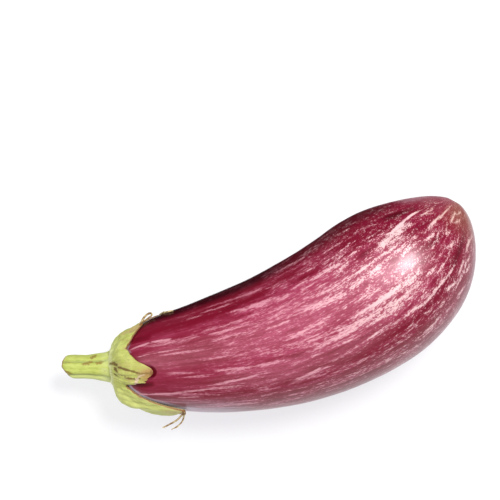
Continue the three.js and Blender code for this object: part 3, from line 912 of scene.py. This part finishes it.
stem_rings = stalk(stem_radius * share)
stem_rings = stalk((stem_radius + 0.2 * lumps(stem_rings * (0.5, 1, 1), 3.5, 2)) * share)
stem = skin_of_rings(
    "stalk", stem_rings,
    stalk=triples(np.cos(turned), np.sin(turned), up_stem),
    cut=triples(cut, grooves, share),
)
bent(stem, stem_line)
STEM_SCARS = [
    (8.2, 60, 11.4, 44, 15, 1.6), (9.6, 27, 15.2, 13, 15, 1.5), (4.8, 25, 8.6, 16, 12, 1.4),
    (2.4, -16, 5.8, -10, 8, 0.7), (21.5, -34, 26, -18, 16, 1.2), (18, 25, 26, 28, 6, 0.7),
    (16, 50, 19, 46, 5, 0.7), (14, -42, 22, -48, 4, 0.4),
]
STEM_GREENS = ((0.47, 0.52, 0.118), (0.31, 0.36, 0.057))
GROOVE_PAINTED_SHADE, LIT_GREEN = (0.29, 0.33, 0.13), (0.62, 0.66, 0.28)
STEM_SCAB, STEM_FUZZ = (0.26, 0.195, 0.04), (0.70, 0.73, 0.38)
CUT_RIM = (0.30, 0.17, 0.06)
PITH = ((0.62, 0.56, 0.30), (0.45, 0.42, 0.17))
STEM_ROUND = 6
bark, bark_shader, shade = new_material("stalk_skin", 0.55, Specular_IOR_Level=0.3)
cosine, sine, distance, angle = stored_place(shade, "stalk")
cut_face, groove, share = stored(shade, "cut")
fibre = speckle(shade, wrapped(shade, cosine, sine, STEM_ROUND, distance * 0.12), 1.6, 4, 0.6)
mottle_place = wrapped(shade, cosine, sine, STEM_ROUND, distance * 0.7)
mottle = speckle(shade, mottle_place, 0.5, 3)
frayed = speckle(shade, mottle_place, 1.5, 3, 0.6) - 0.5
# The grooves are darker, as painted shade, and the upper side lighter, as painted light.
deep = (fibre - 0.5) * 1.4 + (mottle - 0.5) * 1.5 + groove * 0.95 + 0.25
color = deep.rise(0.0, 1.0).mixed(*STEM_GREENS)
scarred = stroke(shade, distance + frayed * 4, angle + frayed * 26, STEM_SCARS) + frayed * 0.6
color = groove.rise(0.4, 0.8, 0.0, 0.7).mixed(color, GROOVE_PAINTED_SHADE)
color = angle.rise(-34, -62, 0.0, 0.6).mixed(color, LIT_GREEN)
color = scarred.rise(0.2, 0.95).mixed(color, STEM_SCAB)
fuzzy = (distance + frayed * 5).rise(7.5, 4.5) * fibre.rise(0.3, 0.7)
color = (fuzzy * 0.4).mixed(color, STEM_FUZZ)
near_cut = cut_face.rise(0.0, 0.5)
color = near_cut.mixed(color, CUT_RIM)
pith = fibre.rise(0.3, 0.7).mixed(*PITH)
color = (share.rise(0.84, 0.7) * near_cut).mixed(color, pith)
color.feeds(bark_shader, "Base Color")
roughen(shade, bark_shader, 0.5, 0.4 * MM, fibre * 0.7 + frayed * 0.3)
stem.data.materials.append(bark)
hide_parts("stem")
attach(stem, "root")

# ---- Table ----
# The plain white surface that the fruit lies on, so wide that no edge of it shows. It glows
# a little, so that it stays white in the soft light.
TABLE_SIZE = 8
TABLE_WHITE = (0.3, 0.3, 0.3, 1)
TABLE_GLOW = (0.963, 0.963, 1, 1)
bpy.ops.mesh.primitive_plane_add(size=TABLE_SIZE)
table = bpy.context.object
table.name = "table"
white = new_material(
    "white_table", 0.9, Base_Color=TABLE_WHITE, Specular_IOR_Level=0.0,
    Emission_Color=TABLE_GLOW, Emission_Strength=0.71,
)[0]
table.data.materials.append(white)

# ---- Camera ----
# It looks straight down at the fruit, turned a little, from so high up that what is nearer
# looks hardly larger.
CAMERA_PLACE = (0.0004, 0.0397)
CAMERA_HEIGHT = 0.95
MIDDLE_HEIGHT = 0.033
VIEW_WIDTH = 0.24
VIEW_TURN = math.radians(-20)
bpy.ops.object.camera_add(location=(*CAMERA_PLACE, CAMERA_HEIGHT), rotation=(0, 0, VIEW_TURN))
camera = bpy.context.object
camera.data.lens = camera.data.sensor_width * (CAMERA_HEIGHT - MIDDLE_HEIGHT) / VIEW_WIDTH
camera.data.clip_end = 20
bpy.context.scene.camera = camera

# ---- Light ----
# Large soft lamps, the brightest high at the upper right, with dim ones at the other sides.
# The glows and the band show only in the gloss of the skin, as its broad highlight.


def softbox(name, direction, distance, size, power):
    """A round light that faces the part, in a direction given as right, up and towards the eye."""
    right = Vector((math.cos(VIEW_TURN), math.sin(VIEW_TURN), 0))
    up = Vector((-math.sin(VIEW_TURN), math.cos(VIEW_TURN), 0))
    way = (right * direction[0] + up * direction[1] + Vector((0, 0, direction[2]))).normalized()
    bpy.ops.object.light_add(type="AREA", location=way * distance)
    light = bpy.context.object
    light.name = name
    light.rotation_euler = way.to_track_quat("Z", "Y").to_euler()
    light.data.shape = "DISK"
    light.data.size = size
    light.data.energy = power
    light.visible_camera = False
    return light


softbox("key", (0.3, 0.36, 0.88), 1.6, 0.62, 26)
for name, size, power in (("close_glow", 0.9, 6.4), ("glow", 1.5, 21.5), ("wide_glow", 2.3, 6)):
    softbox(name, (0.28, 0.34, 0.9), 1.6, size, power).visible_diffuse = False
band = softbox("band", (0.08, 0.355, 0.93), 1.6, 0.95, 2.2)
band.data.shape = "RECTANGLE"
band.data.size_y = 0.3
band.visible_diffuse = False
softbox("overhead", (-0.35, 0.2, 0.92), 1.3, 1.5, 5.3)
softbox("fill", (0.05, -0.8, 0.6), 1.5, 1.3, 5)
softbox("side_fill", (-0.87, -0.1, 0.48), 1.4, 1.2, 4.5)

# A dark card that stands along the upper side, seen only in the gloss of the skin.
CARD = [
    (-0.1, 0.026, 0.066), (-0.07, 0.031, 0.066), (0.02, 0.033, 0.066), (0.042, 0.037, 0.066),
    (0.06, 0.044, 0.066), (0.073, 0.048, 0.066), (0.08, 0.053, 0.067), (0.085, 0.063, 0.073),
    (0.09, 0.08, 0.084), (0.1, 0.1, 0.095), (0.125, 0.11, 0.1),
]
bpy.ops.mesh.primitive_grid_add(x_subdivisions=len(CARD) - 1, y_subdivisions=1)
card = bpy.context.object
card.name = "dark_card"
for vertex, (x, y, height) in zip(card.data.vertices, CARD + CARD):
    vertex.co = (x, y, height * (vertex.index >= len(CARD)))
card.visible_camera = card.visible_diffuse = card.visible_shadow = False
CARD_BLACK = (0.005, 0.001, 0.001, 1)
black = new_material("dark_card", 0.9, Base_Color=CARD_BLACK, Specular_IOR_Level=0.0)[0]
card.data.materials.append(black)

# A dim even light from all round keeps the shadows open.
WORLD_LIGHT = 0.15
world = bpy.context.scene.world or bpy.data.worlds.new("studio")
bpy.context.scene.world = world
world.use_nodes = True
world.node_tree.nodes["Background"].inputs["Color"].default_value = (1, 1, 1, 1)
world.node_tree.nodes["Background"].inputs["Strength"].default_value = WORLD_LIGHT
bpy.context.scene.view_settings.view_transform = "Standard"

bpy.data.objects.remove(middle_line)
bpy.data.objects.remove(stem_line)
